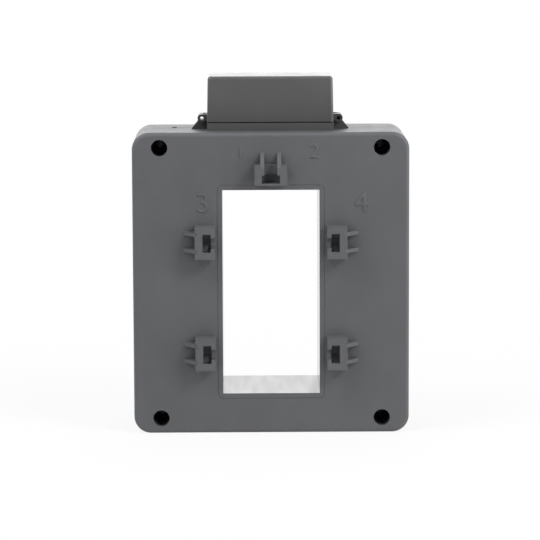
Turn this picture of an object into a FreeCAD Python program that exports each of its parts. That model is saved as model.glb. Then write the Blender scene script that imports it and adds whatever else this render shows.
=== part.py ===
"""Window-type current transformer.

Two moulded case halves close round a wound C-core and carry a tall busbar
window through the middle. Five clamp bosses stand on the front face. A terminal
block sits in the top wall under a hinged cover.

Millimetres. X runs to the right seen from the front, Y to the rear, Z up. The
origin is the middle of the case's bottom face.
"""
import FreeCAD, Part
import math
import os

V = FreeCAD.Vector

# Busbar window and the tube round it
window_width = 60.0
window_height = 127.0
tube_wall = 3.0
tube_corner = 3.0
tube_fit = 0.15

# Case
case_depth = 66.0
case_wall = 3.0
case_corner = 10.5
case_edge = 2.5
rear_bevel = 1.5
split_from_front = 38.0
seam_width = 1.0
seam_depth = 0.5
tongue_length = 3.0
tongue_wall = 1.5
tongue_fit = 0.1
pry_notch_width = 2.6
pry_notch_depth = 0.9
pry_notch_length = 6.5
pry_notch_inset = 25.5

# Wound core
core_build = 15.0
core_depth = 28.0
core_corner = 6.0
core_clear = 2.0
core_cut_gap = 0.05
floor_pad = 2.0
inner_coil_room = 17.3
outer_coil_room = 17.2
terminal_room = 12.5
strap_width = 10.0
strap_thick = 0.5
strap_fit = 0.1
seal_length = 12.0
seal_thick = 1.2

# Bobbins and windings
bobbin_fit = 0.3
bobbin_wall = 1.5
bobbin_flange = 2.0
flange_lip = 1.2
winding_build = 5.2
wrap_thick = 0.5
layer_fit = 0.1

# Ribs that carry the core
rib_thick = 2.0
rib_from_centre = 25.0
hold_down_outside_block = 8.8
seat_fit = 0.2

# Case screws in their deep bores
screw_inset_x = 16.9
screw_inset_z = 9.4
bore_radius = 5.1
bore_depth = 30.0
post_wall = 1.8
case_screw_radius = 2.0
case_screw_length = 20.0
case_screw_head_radius = 3.7
case_screw_head = 2.6
shank_clear = 0.25
pilot_clear = 0.03
pilot_extra = 3.0

# Clamp bosses on the front face
boss_length = 12.5
boss_width = 20.0
boss_rise = 11.0
side_boss_land = 1.35
top_boss_land = 0.45
upper_boss_over_sill = 95.1
lower_boss_over_sill = 25.9
nut_slot_width = 11.2
nut_slot_length = 5.1
clamp_hole_radius = 3.3
boss_end_wall = 1.2
side_channel_length = 1.4
rib_run = 7.0
boss_rib_thick = 2.4
boss_rib_from_axis = 5.2
boss_rib_dip = 1.3

# Terminal block
block_width = 78.4
block_depth = 38.0
plinth_height = 4.7
neck_inset = 2.2
neck_fit = 0.15
block_flange = 2.7
flange_fit = 0.1
block_plate = 2.5
rim_height = 2.3
rim_wall = 1.4
rim_fit = 0.4
terminal_from_centre = 18.0
seat_rise = 4.8
seat_width = 15.0
seat_front = 9.0
seat_rear = 16.4
centre_barrier = 13.8
side_barrier = 11.8
side_barrier_from_centre = 30.0
barrier_thick = 1.6
barrier_end_gap = 1.6

# Terminals
plate_width = 12.0
plate_front = 8.0
plate_thick = 1.6
tail_width = 6.0
tail_rear = 15.6
tail_fit = 0.1
tail_below_case_top = 10.5
terminal_screw_radius = 2.0
terminal_screw_fit = 0.05
terminal_screw_length = 12.8
terminal_head_radius = 3.8
terminal_head = 3.0
slot_width = 1.0
slot_depth = 1.3
square_washer = 9.0
square_washer_thick = 1.2
spring_washer_radius = 3.6
spring_washer_thick = 1.0
spring_washer_gap = 0.8
washer_fit = 0.2
screw_well_half = 2.7
screw_well_depth = 10.0

# Hinged terminal cover
cover_height = 28.2
cover_gap = 0.7
cover_wall = 2.0
cover_draft = 0.5
cover_round = 2.0
cable_notch_width = 8.0
cable_notch_height = 8.0

# Hinge and seal lugs
lug_from_end = 3.4
lug_rise = 6.8
lug_radius = 2.65
lug_hole_radius = 1.15
lug_half_span = 6.9
gusset_half = 3.7
ear_gap = 0.4
gusset_toe = 9.8
gusset_toe_height = 0.5
gusset_shoulder_out = 2.3
gusset_shoulder_down = 1.5
pin_gusset_fit = 0.02
pin_ear_fit = 0.08
pin_recess = 1.2

# Inside wiring
wire_radius = 1.2
wire_bend = 16.0
wire_from_limb_end = 5.0
wire_off_core = 2.9
wire_seat = 0.1
link_run = 27.0
link_under_tube = 3.5
rib_notch_fit = 0.4

# How far a cut runs past the face it opens
past = 1.0

# Levels and lines worked out from the sizes above
front = -case_depth / 2
rear = case_depth / 2
split = front + split_from_front
tube_half = window_width / 2 + tube_wall
tube_low = case_wall + floor_pad + core_build + core_clear
sill = tube_low + tube_wall
window_top = sill + window_height
tube_high = window_top + tube_wall
core_low = case_wall + floor_pad
core_high = tube_high + core_clear + core_build
case_height = core_high + terminal_room + case_wall
limb_in = tube_half + inner_coil_room
limb_out = limb_in + core_build
case_half = limb_out + outer_coil_room + case_wall
core_middle = (core_low + core_high) / 2
core_half_depth = core_depth / 2
screw_x = case_half - screw_inset_x
screw_levels = (screw_inset_z, case_height - screw_inset_z)
post_half = bore_radius + post_wall
screw_seat = front + bore_depth

block_half = block_width / 2
block_half_depth = block_depth / 2
plinth_top = case_height + plinth_height
seat_top = plinth_top + seat_rise
plate_top = seat_top + plate_thick
head_seat = plate_top + square_washer_thick + spring_washer_thick
cover_low = plinth_top + cover_gap
lug_x = block_half + lug_from_end
lug_z = case_height + lug_rise


def box(x, y, z):
    """Box between a low and a high value on each axis."""
    return Part.makeBox(x[1] - x[0], y[1] - y[0], z[1] - z[0], V(x[0], y[0], z[0]))


def rod(radius, start, end):
    """Round bar between two points."""
    run = end.sub(start)
    return Part.makeCylinder(radius, run.Length, start, run)


def edges_along(shape, axis):
    """Straight edges that run along one axis, 0 for X, 1 for Y and 2 for Z."""
    found = []
    for edge in shape.Edges:
        a = edge.Vertexes[0].Point
        b = edge.Vertexes[-1].Point
        run = b.sub(a)
        if run.Length > 0.01 and abs(run[axis]) > 0.999 * run.Length:
            found.append(edge)
    return found


def edges_in_plane(shape, axis, level):
    """Edges that lie wholly in the plane where one coordinate has the given value."""
    found = []
    for edge in shape.Edges:
        b = edge.BoundBox
        low = (b.XMin, b.YMin, b.ZMin)[axis]
        high = (b.XMax, b.YMax, b.ZMax)[axis]
        if abs(low - level) < 0.001 and abs(high - level) < 0.001:
            found.append(edge)
    return found


def frame_slab(half_width, low, high, corner, y):
    """Upright slab across the case, with its four corners rounded as seen from the front."""
    slab = box((-half_width, half_width), y, (low, high))
    return slab.makeFillet(corner, edges_along(slab, 1))


def case_slab(inset, y):
    """The case's outline, brought in by an inset."""
    return frame_slab(case_half - inset, inset, case_height - inset, case_corner - inset, y)


def tube_slab(outset, y):
    """The window tube's outline, let out by an outset."""
    return frame_slab(tube_half + outset, tube_low - outset, tube_high + outset,
                      tube_corner + outset, y)


def column(x, y, z, corner):
    """Upright column with its four standing edges rounded."""
    block = box(x, y, z)
    return block.makeFillet(corner, edges_along(block, 2))


def mirrored(shape):
    """The same piece on the left, mirrored in the middle plane."""
    return shape.mirror(V(0, 0, 0), V(1, 0, 0))


def both_sides(shape):
    """The piece and its mirror image together."""
    return shape.fuse(mirrored(shape))


def bent_wire(points, bend, radius):
    """Round wire along straight runs that are joined by tangent arcs."""
    edges = []
    start = points[0]
    for before, corner, after in zip(points, points[1:], points[2:]):
        into = corner.sub(before).normalize()
        out = after.sub(corner).normalize()
        turn = into.getAngle(out)
        setback = bend * math.tan(turn / 2)
        first = corner.sub(into * setback)
        last = corner.add(out * setback)
        towards_centre = out.sub(into).normalize()
        middle = corner.add(towards_centre * (bend / math.cos(turn / 2) - bend))
        edges.append(Part.LineSegment(start, first).toShape())
        edges.append(Part.Arc(first, middle, last).toShape())
        start = last
    edges.append(Part.LineSegment(start, points[-1]).toShape())
    path = Part.Wire(edges)
    heading = points[1].sub(points[0])
    ring = Part.Wire([Part.makeCircle(radius, points[0], heading)])
    return path.makePipeShell([ring], True, False)


# Core, strap and windings
def core_ring():
    """Closed ring of wound steel strip round the window tube."""
    outer = frame_slab(limb_out, core_low, core_high, core_corner + core_build,
                       (-core_half_depth, core_half_depth))
    inner = frame_slab(limb_in, core_low + core_build, core_high - core_build, core_corner,
                       (-core_half_depth, core_half_depth))
    return outer.cut(inner)


def core_half(upper):
    """One C of the cut core. The halves meet halfway up the limbs."""
    reach = case_height
    if upper:
        keep = box((-reach, reach), (-reach, reach), (core_middle + core_cut_gap / 2, reach))
    else:
        keep = box((-reach, reach), (-reach, reach), (0, core_middle - core_cut_gap / 2))
    return core_ring().common(keep)


def core_strap():
    """Steel band round the outside of both core halves."""
    y = (-strap_width / 2, strap_width / 2)
    inside = strap_fit
    outside = strap_fit + strap_thick
    corner = core_corner + core_build
    outer = frame_slab(limb_out + outside, core_low - outside, core_high + outside,
                       corner + outside, y)
    inner = frame_slab(limb_out + inside, core_low - inside, core_high + inside,
                       corner + inside, y)
    return outer.cut(inner)


def strap_seal():
    """Crimped clip that closes the strap on top of the core."""
    low = core_high + strap_fit + strap_thick + strap_fit
    high = low + seal_thick
    wide = strap_width / 2 + strap_fit
    clip = box((-seal_length / 2, seal_length / 2), (-wide - seal_thick, wide + seal_thick),
               (core_high + strap_fit, high))
    hollow = box((-seal_length, seal_length), (-wide, wide), (0, low))
    return clip.cut(hollow)


# The bobbin clears the core limb, and on its outer side the strap too
limb_room = (limb_in - bobbin_fit, limb_out + strap_fit + strap_thick + bobbin_fit)
limb_room_half_depth = core_half_depth + bobbin_fit
bobbin_low = core_low + core_build + core_corner + bobbin_fit
bobbin_high = core_high - core_build - core_corner - bobbin_fit


def limb_sleeve(inside, outside, z, corner=0):
    """Sleeve round the right-hand limb, given as two offsets from the limb's room."""
    x = (limb_room[0] - outside, limb_room[1] + outside)
    y = (-limb_room_half_depth - outside, limb_room_half_depth + outside)
    outer = column(x, y, z, corner) if corner else box(x, y, z)
    hollow = box((limb_room[0] - inside, limb_room[1] + inside),
                 (-limb_room_half_depth - inside, limb_room_half_depth + inside), z)
    return outer.cut(hollow)


def bobbin():
    """Spool with a flange at each end, over one limb of the core."""
    reach = bobbin_wall + layer_fit + winding_build + layer_fit + wrap_thick + flange_lip
    spool = limb_sleeve(0, bobbin_wall, (bobbin_low, bobbin_high))
    for low in (bobbin_low, bobbin_high - bobbin_flange):
        spool = spool.fuse(limb_sleeve(0, reach, (low, low + bobbin_flange)))
    return spool.removeSplitter()


winding_z = (bobbin_low + bobbin_flange + layer_fit, bobbin_high - bobbin_flange - layer_fit)


def winding():
    """Copper wire wound between the bobbin's flanges."""
    inside = bobbin_wall + layer_fit
    return limb_sleeve(inside, inside + winding_build, winding_z, winding_build)


def winding_wrap():
    """Insulating tape round the winding."""
    inside = bobbin_wall + layer_fit + winding_build + layer_fit
    outer_corner = winding_build + layer_fit + wrap_thick
    outside = inside + wrap_thick
    wrap = column((limb_room[0] - outside, limb_room[1] + outside),
                  (-limb_room_half_depth - outside, limb_room_half_depth + outside),
                  winding_z, outer_corner)
    hollow = column((limb_room[0] - inside, limb_room[1] + inside),
                    (-limb_room_half_depth - inside, limb_room_half_depth + inside),
                    winding_z, winding_build + layer_fit)
    return wrap.cut(hollow)


# Wires between the windings and the terminals
wire_x = limb_in + wire_from_limb_end
tail_low = case_height - tail_below_case_top


def lead_wire():
    """Wire from the right-hand winding slanting up behind the core to its terminal's tail."""
    y = tail_rear + wire_seat + wire_radius
    return rod(wire_radius, V(wire_x, y, bobbin_high + wire_seat + wire_radius),
               V(terminal_from_centre, y, tail_low + wire_radius + wire_seat))


link_y = -core_half_depth - wire_off_core
link_z = tube_low - link_under_tube


def link_wire():
    """Wire that joins the two windings, passing in front of the lower yoke under the window tube."""
    ends = bobbin_low - wire_seat - wire_radius
    return bent_wire([V(-wire_x, link_y, ends), V(-link_run, link_y, link_z),
                      V(link_run, link_y, link_z), V(wire_x, link_y, ends)], wire_bend, wire_radius)


def link_notch():
    """Notch in the front ribs for the link wire, open to the core's room behind it."""
    room = wire_radius + rib_notch_fit
    return box((-link_run, link_run), (link_y - room, -core_half_depth),
               (link_z - room, link_z + room))


# Case halves
def clamp_boss(pocket_start, channel_half, channel):
    """Boss for one busbar clamp screw, with its foot on the origin.

    The screw runs along Z, which points away from the window. A nut slides into
    the slot from the front, and the channel leaves room for the screw.
    """
    axis_y = -boss_rise / 2
    boss = box((-boss_width / 2, boss_width / 2), (-boss_rise, 0), (0, boss_length))
    rib_start = boss_length - boss_rib_dip
    gusset = Part.Face(Part.makePolygon([V(0, 0, rib_start), V(0, -boss_rise, rib_start),
                                         V(0, 0, boss_length + rib_run), V(0, 0, rib_start)]))
    for side in (-1, 1):
        low = side * boss_rib_from_axis - boss_rib_thick / 2
        rib = gusset.extrude(V(boss_rib_thick, 0, 0))
        rib.translate(V(low, 0, 0))
        room = box((low, low + boss_rib_thick), (-boss_rise, 0), (rib_start, boss_length))
        boss = boss.cut(room).fuse(rib)
    half = nut_slot_width / 2
    shoulder = axis_y + half / math.sqrt(3)
    point = axis_y + 2 * half / math.sqrt(3)
    slot = Part.Face(Part.makePolygon([V(-half, -2 * boss_rise, pocket_start),
                                       V(half, -2 * boss_rise, pocket_start),
                                       V(half, shoulder, pocket_start),
                                       V(0, point, pocket_start),
                                       V(-half, shoulder, pocket_start),
                                       V(-half, -2 * boss_rise, pocket_start)]))
    boss = boss.cut(slot.extrude(V(0, 0, nut_slot_length)))
    boss = boss.cut(rod(clamp_hole_radius, V(0, axis_y, -past), V(0, axis_y, boss_length + rib_run)))
    boss = boss.cut(rod(channel_half, V(0, axis_y, channel[0]), V(0, axis_y, channel[1])))
    return boss.cut(box((-channel_half, channel_half), (-2 * boss_rise, axis_y), channel))


def top_boss():
    """Boss over the window, open upwards between its ribs."""
    between_ribs = boss_rib_from_axis - boss_rib_thick / 2
    channel = (boss_end_wall, boss_length + rib_run + past)
    boss = clamp_boss(boss_end_wall, between_ribs, channel)
    boss.translate(V(0, front, tube_high + tube_fit + top_boss_land))
    return boss


def side_boss(level):
    """Boss to the right of the window, open towards it, with a solid outer wall."""
    pocket_start = boss_end_wall + side_channel_length
    boss = clamp_boss(pocket_start, clamp_hole_radius, (-past, pocket_start))
    boss.rotate(V(0, 0, 0), V(0, 1, 0), 90)
    boss.translate(V(tube_half + tube_fit + side_boss_land, front, level))
    return boss


def yoke_ribs(y):
    """Ribs over and under the window tube that hold the core's yokes."""
    ribs = None
    for z in ((case_wall / 2, tube_low + tube_wall / 2),
              (tube_high - tube_wall / 2, core_high - core_build / 4)):
        rib = box((rib_from_centre, rib_from_centre + rib_thick), y, z)
        ribs = rib if ribs is None else ribs.fuse(rib)
    return both_sides(ribs)


def hold_down_ribs(y):
    """Short ribs from the top wall onto the upper yoke, beside the terminal block."""
    x = block_half + hold_down_outside_block
    return both_sides(box((x, x + rib_thick), y, (core_high - seat_fit, case_height - case_wall / 2)))


def core_room():
    """Space that the core and its strap take, with the seat clearance."""
    band = strap_fit + strap_thick + seat_fit
    y = (-core_half_depth - seat_fit, core_half_depth + seat_fit)
    ring = frame_slab(limb_out + seat_fit, core_low, core_high + seat_fit,
                      core_corner + core_build, y)
    hole = frame_slab(limb_in - seat_fit, core_low + core_build + seat_fit,
                      core_high - core_build - seat_fit, core_corner, y)
    strap = frame_slab(limb_out + band, core_low - band, core_high + band,
                       core_corner + core_build + band,
                       (-strap_width / 2 - seat_fit, strap_width / 2 + seat_fit))
    return ring.fuse(strap).cut(hole)


def at_corners(make):
    """The same feature at the four corner screws."""
    features = []
    for level in screw_levels:
        for side in (-1, 1):
            features.append(make(side * screw_x, level))
    return features[0].fuse(features[1:])


def corner_bores(radius, y):
    """Round bores on the axes of the four corner screws."""
    return at_corners(lambda x, z: rod(radius, V(x, y[0], z), V(x, y[1], z)))


def corner_posts(y):
    """Square posts round the four corner screws, run into the floor or the top wall."""
    low = box((screw_x - post_half, screw_x + post_half), y,
              (case_wall / 2, screw_levels[0] + post_half))
    high = box((screw_x - post_half, screw_x + post_half), y,
               (screw_levels[1] - post_half, case_height - case_wall / 2))
    return both_sides(low.fuse(high))


def block_opening():
    """Opening in the top wall round the terminal block's neck."""
    half = block_half - neck_inset + neck_fit
    deep = block_half_depth - neck_inset + neck_fit
    return box((-half, half), (-deep, deep), (case_height - 2 * case_wall, case_height + past))


def block_flange_room():
    """Space under the top wall for the terminal block's inner flange."""
    half = block_half + flange_fit
    deep = block_half_depth + flange_fit
    low = case_height - case_wall - block_flange - 2 * flange_fit
    return box((-half, half), (-deep, deep), (low, case_height - case_wall))


def seam_groove():
    """Shallow groove round the case where the halves meet."""
    y = (split - seam_width / 2, split + seam_width / 2)
    ring = case_slab(-past, y).cut(case_slab(seam_depth, y))
    x = -case_half + pry_notch_inset
    notch = box((x - pry_notch_width / 2, x + pry_notch_width / 2), (y[0], split + pry_notch_length),
                (case_height - pry_notch_depth, case_height + past))
    return ring.fuse(notch)


def front_shell():
    """Front half of the case, with the clamp bosses and the screw bores."""
    body = case_slab(0, (front, split))
    body = body.makeFillet(case_edge, edges_in_plane(body, 1, front))
    inside = (front + case_wall, split)
    room = case_slab(case_wall, inside)
    body = body.cut(room)
    body = body.fuse(yoke_ribs(inside))
    body = body.fuse(hold_down_ribs(inside))
    body = body.fuse(corner_posts(inside))
    body = body.cut(core_room())
    tongue_y = (split - tongue_length - tongue_fit, split)
    rebate = case_slab(tongue_wall - tongue_fit, tongue_y).cut(
        case_slab(case_wall + tongue_fit, tongue_y))
    body = body.cut(rebate)
    body = body.cut(tube_slab(tube_fit, (front - past, split)))
    body = body.fuse(top_boss())
    for level in (sill + lower_boss_over_sill, sill + upper_boss_over_sill):
        body = body.fuse(both_sides(side_boss(level)))
    body = body.cut(corner_bores(bore_radius, (front - past, screw_seat)))
    body = body.cut(corner_bores(case_screw_radius + shank_clear, (screw_seat, split)))
    body = body.cut(block_opening()).cut(block_flange_room())
    body = body.cut(link_notch())
    return body.cut(seam_groove()).removeSplitter()


def rear_shell():
    """Rear half of the case, moulded with the window tube."""
    body = case_slab(0, (split, rear))
    body = body.makeChamfer(rear_bevel, edges_in_plane(body, 1, rear))
    inside = (split, rear - case_wall)
    body = body.cut(case_slab(case_wall, inside))
    body = body.fuse(yoke_ribs(inside))
    body = body.fuse(hold_down_ribs((split, core_half_depth)))
    body = body.fuse(corner_posts(inside))
    body = body.cut(core_room())
    tongue_y = (split - tongue_length, split)
    body = body.fuse(case_slab(tongue_wall, tongue_y).cut(case_slab(case_wall, tongue_y)))
    body = body.fuse(tube_slab(0, (front, rear - case_wall / 2)))
    window = box((-window_width / 2, window_width / 2), (front - past, rear + past), (sill, window_top))
    body = body.cut(window)
    pilot_end = screw_seat + case_screw_length + pilot_extra
    body = body.cut(corner_bores(case_screw_radius + pilot_clear, (split - past, pilot_end)))
    body = body.cut(block_opening()).cut(block_flange_room())
    return body.cut(seam_groove()).removeSplitter()


def case_screw(x, level):
    """Screw at the bottom of one corner bore."""
    head = rod(case_screw_head_radius, V(x, screw_seat - case_screw_head, level),
               V(x, screw_seat, level))
    return head.fuse(rod(case_screw_radius, V(x, screw_seat, level),
                         V(x, screw_seat + case_screw_length, level)))


# Terminal block, terminals and cover
def lug_gusset():
    """Gusset beside the plinth that carries the middle of the right-hand lug."""
    inner = lug_x - lug_radius
    toe = block_half + gusset_toe
    root = block_half - neck_inset
    outline = [V(root, 0, case_height), V(toe, 0, case_height),
               V(toe, 0, case_height + gusset_toe_height),
               V(lug_x + gusset_shoulder_out, 0, lug_z - gusset_shoulder_down),
               V(lug_x, 0, lug_z), V(inner, 0, lug_z), V(inner, 0, plinth_top),
               V(root, 0, plinth_top), V(root, 0, case_height)]
    gusset = Part.Face(Part.makePolygon(outline)).extrude(V(0, 2 * gusset_half, 0))
    gusset.translate(V(0, -gusset_half, 0))
    return gusset.fuse(rod(lug_radius, V(lug_x, -gusset_half, lug_z), V(lug_x, gusset_half, lug_z)))


def seat_block():
    """Raised seat for the right-hand terminal, with the screw's well and the tail's slot."""
    x = terminal_from_centre
    seat = box((x - seat_width / 2, x + seat_width / 2), (-seat_front, seat_rear),
               (case_height - case_wall, seat_top))
    well = box((x - screw_well_half, x + screw_well_half), (-screw_well_half, screw_well_half),
               (seat_top - screw_well_depth, seat_top + past))
    half = tail_width / 2 + tail_fit
    slot = box((x - half, x + half), (tail_rear - plate_thick - tail_fit, tail_rear + tail_fit),
               (0, seat_top + past))
    return seat, well.fuse(slot)


def terminal_block():
    """Moulded block that the top walls of both case halves hold by its neck."""
    neck_half = block_half - neck_inset
    neck_deep = block_half_depth - neck_inset
    flange_top = case_height - case_wall - flange_fit
    flange_low = flange_top - block_flange
    body = box((-block_half, block_half), (-block_half_depth, block_half_depth),
               (case_height, plinth_top))
    body = body.fuse(box((-neck_half, neck_half), (-neck_deep, neck_deep),
                         (flange_low, case_height)))
    body = body.fuse(box((-block_half, block_half), (-block_half_depth, block_half_depth),
                         (flange_low, flange_top)))
    hollow_half = neck_half - block_plate
    hollow_deep = neck_deep - block_plate
    body = body.cut(box((-hollow_half, hollow_half), (-hollow_deep, hollow_deep),
                        (flange_low - past, plinth_top - block_plate)))
    rim_out = cover_wall + rim_fit
    rim_in = rim_out + rim_wall
    rim_z = (plinth_top - block_plate / 2, plinth_top + rim_height)
    rim = box((-block_half + rim_out, block_half - rim_out),
              (-block_half_depth + rim_out, block_half_depth - rim_out), rim_z)
    rim = rim.cut(box((-block_half + rim_in, block_half - rim_in),
                      (-block_half_depth + rim_in, block_half_depth - rim_in), rim_z))
    cable_ways = both_sides(cable_way((0, block_half_depth + past), plinth_top))
    body = body.fuse(rim.cut(cable_ways))
    reach = block_half_depth - rim_in - barrier_end_gap
    walls = box((-barrier_thick / 2, barrier_thick / 2), (-reach, reach),
                (plinth_top - block_plate / 2, plinth_top + centre_barrier))
    walls = walls.fuse(both_sides(box((side_barrier_from_centre,
                                       side_barrier_from_centre + barrier_thick),
                                      (-reach, reach),
                                      (plinth_top - block_plate / 2, plinth_top + side_barrier))))
    body = body.fuse(walls)
    seat, hollows = seat_block()
    body = body.fuse(both_sides(seat)).fuse(both_sides(lug_gusset()))
    body = body.cut(both_sides(hollows))
    hinge = rod(lug_hole_radius + pin_gusset_fit, V(lug_x, -block_depth, lug_z),
                V(lug_x, block_depth, lug_z))
    seal = rod(lug_hole_radius, V(-lug_x, -block_depth, lug_z), V(-lug_x, block_depth, lug_z))
    return body.cut(hinge).cut(seal).removeSplitter()


def cable_way(y, low):
    """Round-topped way for one cable, over the right-hand terminal."""
    x = terminal_from_centre
    half = cable_notch_width / 2
    spring = cover_low + cable_notch_height - half
    way = box((x - half, x + half), y, (low, spring))
    return way.fuse(rod(half, V(x, y[0], spring), V(x, y[1], spring)))


def cover_shell(inset, low, high):
    """Drafted box of the cover, brought in by an inset. It is made lying down, then stood up."""
    x = block_half - inset
    y = block_half_depth - inset
    shell = Part.makeWedge(-x, low, -y, -y + cover_draft, -x + cover_draft,
                           x, high, y, y - cover_draft, x - cover_draft)
    shell.rotate(V(0, 0, 0), V(1, 0, 0), 90)
    return shell


def cover_ears():
    """Two ears of the right-hand lug, on arms from the cover's end wall, one each side of the gusset."""
    ears = []
    for y in ((-lug_half_span, -gusset_half - ear_gap), (gusset_half + ear_gap, lug_half_span)):
        arm = box((block_half - cover_wall / 2, lug_x), y, (cover_low, lug_z + lug_radius))
        ears.append(arm.fuse(rod(lug_radius, V(lug_x, y[0], lug_z), V(lug_x, y[1], lug_z))))
    return ears[0].fuse(ears[1])


def terminal_cover():
    """Hinged cover over the terminals, with two cable ways in its rear wall."""
    high = cover_low + cover_height
    body = cover_shell(0, cover_low, high)
    rounded = [e for e in body.Edges if e.BoundBox.ZMax > high - 0.01]
    body = body.makeFillet(cover_round, rounded)
    body = body.cut(cover_shell(cover_wall, cover_low, high - cover_wall))
    body = body.fuse(both_sides(cover_ears()))
    body = body.cut(both_sides(cable_way((0, block_half_depth + past), cover_low - past)))
    hinge = rod(lug_hole_radius + pin_ear_fit, V(lug_x, -block_depth, lug_z),
                V(lug_x, block_depth, lug_z))
    seal = rod(lug_hole_radius, V(-lug_x, -block_depth, lug_z), V(-lug_x, block_depth, lug_z))
    return body.cut(hinge).cut(seal).removeSplitter()


def hinge_pin():
    """Steel pin, tight in the right-hand gusset, that the cover's ears turn on."""
    return rod(lug_hole_radius, V(lug_x, -lug_half_span + pin_recess, lug_z),
               V(lug_x, lug_half_span, lug_z))


def terminal_plate():
    """Brass plate of the right-hand terminal, bent down into a tail at the rear."""
    x = terminal_from_centre
    plate = box((x - plate_width / 2, x + plate_width / 2), (-plate_front, tail_rear),
                (seat_top, plate_top))
    tail = box((x - tail_width / 2, x + tail_width / 2), (tail_rear - plate_thick, tail_rear),
               (tail_low, plate_top))
    plate = plate.fuse(tail)
    hole = rod(terminal_screw_radius + terminal_screw_fit, V(x, 0, seat_top - past),
               V(x, 0, plate_top + past))
    return plate.cut(hole).removeSplitter()


def terminal_screw():
    """Slotted clamp screw of the right-hand terminal."""
    x = terminal_from_centre
    top = head_seat + terminal_head
    head = rod(terminal_head_radius, V(x, 0, head_seat), V(x, 0, top))
    screw = head.fuse(rod(terminal_screw_radius, V(x, 0, head_seat - terminal_screw_length),
                          V(x, 0, head_seat)))
    half = slot_width / 2
    return screw.cut(box((x - terminal_head_radius, x + terminal_head_radius), (-half, half),
                         (top - slot_depth, top)))


def terminal_square_washer():
    """Square clamp washer on the right-hand terminal plate."""
    x = terminal_from_centre
    half = square_washer / 2
    washer = box((x - half, x + half), (-half, half),
                 (plate_top, plate_top + square_washer_thick))
    return washer.cut(rod(terminal_screw_radius + washer_fit, V(x, 0, plate_top - past),
                          V(x, 0, plate_top + square_washer_thick + past)))


def terminal_spring_washer():
    """Split spring washer, pressed flat under the screw's head."""
    x = terminal_from_centre
    low = plate_top + square_washer_thick
    washer = rod(spring_washer_radius, V(x, 0, low), V(x, 0, head_seat))
    washer = washer.cut(rod(terminal_screw_radius + washer_fit, V(x, 0, low - past),
                            V(x, 0, head_seat + past)))
    half = spring_washer_gap / 2
    return washer.cut(box((x, x + 2 * spring_washer_radius), (-half, half), (low - past, head_seat + past)))


def all_nodes():
    """Every piece by its node name."""
    nodes = {
        "front_shell": front_shell(),
        "rear_shell": rear_shell(),
        "core_upper": core_half(True),
        "core_lower": core_half(False),
        "core_strap": core_strap(),
        "strap_seal": strap_seal(),
        "link_wire": link_wire(),
        "terminal_block": terminal_block(),
        "terminal_cover": terminal_cover(),
        "hinge_pin": hinge_pin(),
    }
    pairs = {
        "bobbin": bobbin(),
        "winding": winding(),
        "winding_wrap": winding_wrap(),
        "lead_wire": lead_wire(),
        "terminal_plate": terminal_plate(),
        "terminal_screw": terminal_screw(),
        "square_washer": terminal_square_washer(),
        "spring_washer": terminal_spring_washer(),
    }
    for name, shape in pairs.items():
        nodes[name + "_right"] = shape
        nodes[name + "_left"] = mirrored(shape)
    for height, level in zip(("lower", "upper"), screw_levels):
        nodes["case_screw_" + height + "_left"] = case_screw(-screw_x, level)
        nodes["case_screw_" + height + "_right"] = case_screw(screw_x, level)
    return nodes


def main():
    os.makedirs("parts", exist_ok=True)
    for name, shape in all_nodes().items():
        if len(shape.Solids) != 1 or not shape.isValid():
            print("check", name, len(shape.Solids), shape.isValid())
        shape.Solids[0].exportStep("parts/" + name + ".step")


main()
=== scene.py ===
import bmesh
import bpy
import math
from bpy.props import FloatProperty, IntProperty, PointerProperty, StringProperty
from mathutils import Matrix, Vector


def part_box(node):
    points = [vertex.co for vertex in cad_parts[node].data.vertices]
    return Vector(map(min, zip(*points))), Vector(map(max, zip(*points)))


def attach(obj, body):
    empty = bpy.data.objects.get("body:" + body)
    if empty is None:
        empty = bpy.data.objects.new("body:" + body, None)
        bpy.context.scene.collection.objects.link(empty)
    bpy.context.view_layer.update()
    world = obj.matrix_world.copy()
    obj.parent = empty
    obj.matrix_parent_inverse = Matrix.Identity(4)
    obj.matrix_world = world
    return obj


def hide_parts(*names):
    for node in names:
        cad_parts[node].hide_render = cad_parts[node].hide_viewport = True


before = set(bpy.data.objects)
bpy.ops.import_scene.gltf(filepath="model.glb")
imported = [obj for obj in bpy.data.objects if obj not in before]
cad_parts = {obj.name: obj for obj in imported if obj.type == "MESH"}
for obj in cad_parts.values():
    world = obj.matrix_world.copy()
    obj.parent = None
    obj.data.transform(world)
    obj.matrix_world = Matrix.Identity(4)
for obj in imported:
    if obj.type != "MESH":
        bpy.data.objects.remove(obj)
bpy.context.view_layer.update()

bl_info = {
    "name": "Busbar current transformer",
    "version": (1, 0, 0),
    "blender": (4, 5, 0),
    "location": "3D View > Sidebar > Transformer",
    "description": "Finishes and fine pieces for a window-type current transformer",
    "category": "Object",
}

MM = 0.001
SIDES = ("left", "right")

# Faces and corners of the solids that no node's box gives
WINDOW_HALF = 30 * MM
WINDOW_SILL = 25 * MM
WINDOW_TOP = 152 * MM
CORE_CORNER = 21 * MM

SMOOTH_ANGLE = math.radians(32)


def node_box(name):
    """Lowest and highest corner of a CAD node, as vectors in metres."""
    low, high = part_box(name)
    return Vector(low), Vector(high)


# The window tube belongs to the rear half and ends in the front face.
FACE = node_box("rear_shell")[0].y


# Small helpers

def linear(text):
    """An sRGB hex colour as the linear values that a shader takes."""
    values = [int(text[i:i + 2], 16) / 255 for i in (1, 3, 5)]
    return tuple(v / 12.92 if v <= 0.04045 else ((v + 0.055) / 1.055) ** 2.4 for v in values) + (1.0,)


def add(tree, kind, inputs=None, **settings):
    """Adds a node with its settings. Each input is a value, or an output that is linked to it."""
    made = tree.nodes.new(kind)
    for name, value in settings.items():
        setattr(made, name, value)
    for key, value in (inputs or {}).items():
        if isinstance(value, bpy.types.NodeSocket):
            tree.links.new(value, made.inputs[key])
        else:
            made.inputs[key].default_value = value
    return made


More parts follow.
